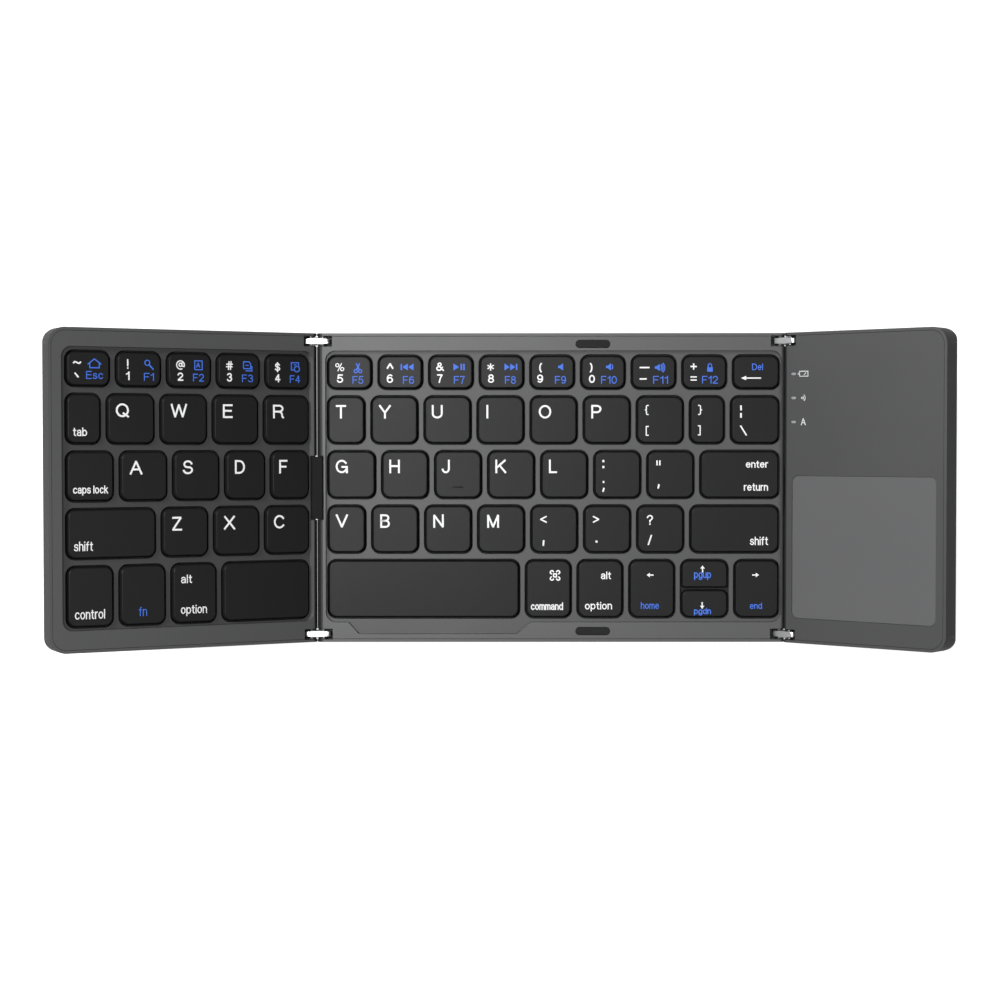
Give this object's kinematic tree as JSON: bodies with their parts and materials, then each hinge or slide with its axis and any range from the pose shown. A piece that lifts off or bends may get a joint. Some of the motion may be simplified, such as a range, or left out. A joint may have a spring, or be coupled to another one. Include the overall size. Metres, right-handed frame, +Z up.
{
  "type": "folding keyboard",
  "caption": "Pocket-size wireless keyboard in three hinged panels, with a touchpad in one folding wing and keys in the other two panels.",
  "frame": {"origin": "middle of the overall box at the level of the centre panel's feet", "axes": "+X towards the touchpad wing, +Y towards the number row, +Z up from the desk"},
  "size_m": [0.2636, 0.094, 0.0457],
  "materials": {
    "centre_shell": "fine matte, dark grey",
    "wing_shell": "fine matte, dark grey",
    "keycap": "satin black",
    "key_plate": "plain sheet",
    "membrane": "dark printed film",
    "dome_rubber": "translucent silicone",
    "black_rubber": "matte black",
    "screw_steel": "machined",
    "bracket_steel": "black finish",
    "link_steel": "bright satin",
    "pin_steel": "ground",
    "ribbon_film": "dark flexible film",
    "touchpad_face": "smooth matte grey",
    "circuit_board": "green solder mask",
    "battery_pouch": "foil pouch",
    "socket_steel": "drawn shell",
    "light_lens": "milky lens",
    "cable_cover": "matte black"
  },
  "bodies": {
    "centre": {"centre_base": "centre_shell", "centre_cover": "centre_shell", "centre_key_plate": "key_plate", "centre_membrane": "membrane", "centre_key_domes": "dome_rubber", "centre_bumpers": "black_rubber", "centre_feet": "black_rubber", "centre_screws": "screw_steel", "centre_hinge_brackets": "bracket_steel", "centre_ribbon_tails": "ribbon_film"},
    "left_wing": {"left_base": "wing_shell", "left_cover": "wing_shell", "left_key_plate": "key_plate", "left_membrane": "membrane", "left_key_domes": "dome_rubber", "left_feet": "black_rubber", "left_screws": "screw_steel", "left_hinge_brackets": "bracket_steel", "left_ribbon_tail": "ribbon_film"},
    "right_wing": {"right_base": "wing_shell", "right_cover": "wing_shell", "touchpad": "touchpad_face", "touchpad_board": "circuit_board", "battery": "battery_pouch", "main_board": "circuit_board", "usb_socket": "socket_steel", "indicator_lights": "light_lens", "right_feet": "black_rubber", "right_screws": "screw_steel", "right_hinge_brackets": "bracket_steel", "right_ribbon_tail": "ribbon_film"},
    "left_link": {"left_links": "link_steel", "left_hinge_pins": "pin_steel", "left_cable_cover": "cable_cover", "left_cable_strip": "ribbon_film"},
    "right_link": {"right_links": "link_steel", "right_hinge_pins": "pin_steel", "right_cable_strip": "ribbon_film"},
    "centre_number_keys": {"centre_number_keys": "keycap"},
    "backspace_key": {"backspace_key": "keycap"},
    "centre_upper_letter_keys": {"centre_upper_letter_keys": "keycap"},
    "centre_home_letter_keys": {"centre_home_letter_keys": "keycap"},
    "enter_key": {"enter_key": "keycap"},
    "centre_lower_letter_keys": {"centre_lower_letter_keys": "keycap"},
    "right_shift_key": {"right_shift_key": "keycap"},
    "right_space_key": {"right_space_key": "keycap"},
    "command_key": {"command_key": "keycap"},
    "right_option_key": {"right_option_key": "keycap"},
    "arrow_keys": {"arrow_keys": "keycap"},
    "left_number_keys": {"left_number_keys": "keycap"},
    "tab_key": {"tab_key": "keycap"},
    "left_upper_letter_keys": {"left_upper_letter_keys": "keycap"},
    "caps_lock_key": {"caps_lock_key": "keycap"},
    "left_home_letter_keys": {"left_home_letter_keys": "keycap"},
    "left_shift_key": {"left_shift_key": "keycap"},
    "left_lower_letter_keys": {"left_lower_letter_keys": "keycap"},
    "control_key": {"control_key": "keycap"},
    "fn_key": {"fn_key": "keycap"},
    "left_option_key": {"left_option_key": "keycap"},
    "left_space_key": {"left_space_key": "keycap"}
  },
  "joints": [
    {"name": "left_link_fold", "type": "hinge", "parent": "centre", "child": "left_link", "pos_m": [-0.05411, 0, 0.006], "axis": [0, 1, 0], "range_deg": [-6, 84], "deforming": ["left_cable_strip"]},
    {"name": "left_wing_fold", "type": "hinge", "parent": "left_link", "child": "left_wing", "pos_m": [-0.05759, 0, 0.00637], "axis": [0, 1, 0], "range_deg": [-21.8, 68.2], "deforming": ["left_cable_strip"]},
    {"name": "right_link_fold", "type": "hinge", "parent": "centre", "child": "right_link", "pos_m": [0.08499, 0, 0.006], "axis": [0, -1, 0], "range_deg": [-39, 51], "deforming": ["right_cable_strip"]},
    {"name": "right_wing_fold", "type": "hinge", "parent": "right_link", "child": "right_wing", "pos_m": [0.08771, 0, 0.0082], "axis": [0, -1, 0], "range_deg": [-0.4, 89.6], "deforming": ["right_cable_strip"]},
    {"name": "centre_number_press", "type": "slide", "parent": "centre", "child": "centre_number_keys", "axis": [0, 0, -1], "range_m": [0, 0.0013], "stiffness_N_per_m": 400, "springref_m": -0.0005, "deforming": ["centre_key_domes"]},
    {"name": "backspace_press", "type": "slide", "parent": "centre", "child": "backspace_key", "axis": [0, 0, -1], "range_m": [0, 0.0013], "stiffness_N_per_m": 400, "springref_m": -0.0005, "deforming": ["centre_key_domes"]},
    {"name": "centre_upper_letter_press", "type": "slide", "parent": "centre", "child": "centre_upper_letter_keys", "axis": [0, 0, -1], "range_m": [0, 0.0013], "stiffness_N_per_m": 400, "springref_m": -0.0005, "deforming": ["centre_key_domes"]},
    {"name": "centre_home_letter_press", "type": "slide", "parent": "centre", "child": "centre_home_letter_keys", "axis": [0, 0, -1], "range_m": [0, 0.0013], "stiffness_N_per_m": 400, "springref_m": -0.0005, "deforming": ["centre_key_domes"]},
    {"name": "enter_press", "type": "slide", "parent": "centre", "child": "enter_key", "axis": [0, 0, -1], "range_m": [0, 0.0013], "stiffness_N_per_m": 400, "springref_m": -0.0005, "deforming": ["centre_key_domes"]},
    {"name": "centre_lower_letter_press", "type": "slide", "parent": "centre", "child": "centre_lower_letter_keys", "axis": [0, 0, -1], "range_m": [0, 0.0013], "stiffness_N_per_m": 400, "springref_m": -0.0005, "deforming": ["centre_key_domes"]},
    {"name": "right_shift_press", "type": "slide", "parent": "centre", "child": "right_shift_key", "axis": [0, 0, -1], "range_m": [0, 0.0013], "stiffness_N_per_m": 400, "springref_m": -0.0005, "deforming": ["centre_key_domes"]},
    {"name": "right_space_press", "type": "slide", "parent": "centre", "child": "right_space_key", "axis": [0, 0, -1], "range_m": [0, 0.0013], "stiffness_N_per_m": 400, "springref_m": -0.0005, "deforming": ["centre_key_domes"]},
    {"name": "command_press", "type": "slide", "parent": "centre", "child": "command_key", "axis": [0, 0, -1], "range_m": [0, 0.0013], "stiffness_N_per_m": 400, "springref_m": -0.0005, "deforming": ["centre_key_domes"]},
    {"name": "right_option_press", "type": "slide", "parent": "centre", "child": "right_option_key", "axis": [0, 0, -1], "range_m": [0, 0.0013], "stiffness_N_per_m": 400, "springref_m": -0.0005, "deforming": ["centre_key_domes"]},
    {"name": "arrow_press", "type": "slide", "parent": "centre", "child": "arrow_keys", "axis": [0, 0, -1], "range_m": [0, 0.0013], "stiffness_N_per_m": 400, "springref_m": -0.0005, "deforming": ["centre_key_domes"]},
    {"name": "left_number_press", "type": "slide", "parent": "left_wing", "child": "left_number_keys", "axis": [-0.4664, 0, -0.8846], "range_m": [0, 0.0013], "stiffness_N_per_m": 400, "springref_m": -0.0005, "deforming": ["left_key_domes"]},
    {"name": "tab_press", "type": "slide", "parent": "left_wing", "child": "tab_key", "axis": [-0.4664, 0, -0.8846], "range_m": [0, 0.0013], "stiffness_N_per_m": 400, "springref_m": -0.0005, "deforming": ["left_key_domes"]},
    {"name": "left_upper_letter_press", "type": "slide", "parent": "left_wing", "child": "left_upper_letter_keys", "axis": [-0.4664, 0, -0.8846], "range_m": [0, 0.0013], "stiffness_N_per_m": 400, "springref_m": -0.0005, "deforming": ["left_key_domes"]},
    {"name": "caps_lock_press", "type": "slide", "parent": "left_wing", "child": "caps_lock_key", "axis": [-0.4664, 0, -0.8846], "range_m": [0, 0.0013], "stiffness_N_per_m": 400, "springref_m": -0.0005, "deforming": ["left_key_domes"]},
    {"name": "left_home_letter_press", "type": "slide", "parent": "left_wing", "child": "left_home_letter_keys", "axis": [-0.4664, 0, -0.8846], "range_m": [0, 0.0013], "stiffness_N_per_m": 400, "springref_m": -0.0005, "deforming": ["left_key_domes"]},
    {"name": "left_shift_press", "type": "slide", "parent": "left_wing", "child": "left_shift_key", "axis": [-0.4664, 0, -0.8846], "range_m": [0, 0.0013], "stiffness_N_per_m": 400, "springref_m": -0.0005, "deforming": ["left_key_domes"]},
    {"name": "left_lower_letter_press", "type": "slide", "parent": "left_wing", "child": "left_lower_letter_keys", "axis": [-0.4664, 0, -0.8846], "range_m": [0, 0.0013], "stiffness_N_per_m": 400, "springref_m": -0.0005, "deforming": ["left_key_domes"]},
    {"name": "control_press", "type": "slide", "parent": "left_wing", "child": "control_key", "axis": [-0.4664, 0, -0.8846], "range_m": [0, 0.0013], "stiffness_N_per_m": 400, "springref_m": -0.0005, "deforming": ["left_key_domes"]},
    {"name": "fn_press", "type": "slide", "parent": "left_wing", "child": "fn_key", "axis": [-0.4664, 0, -0.8846], "range_m": [0, 0.0013], "stiffness_N_per_m": 400, "springref_m": -0.0005, "deforming": ["left_key_domes"]},
    {"name": "left_option_press", "type": "slide", "parent": "left_wing", "child": "left_option_key", "axis": [-0.4664, 0, -0.8846], "range_m": [0, 0.0013], "stiffness_N_per_m": 400, "springref_m": -0.0005, "deforming": ["left_key_domes"]},
    {"name": "left_space_press", "type": "slide", "parent": "left_wing", "child": "left_space_key", "axis": [-0.4664, 0, -0.8846], "range_m": [0, 0.0013], "stiffness_N_per_m": 400, "springref_m": -0.0005, "deforming": ["left_key_domes"]}
  ]
}
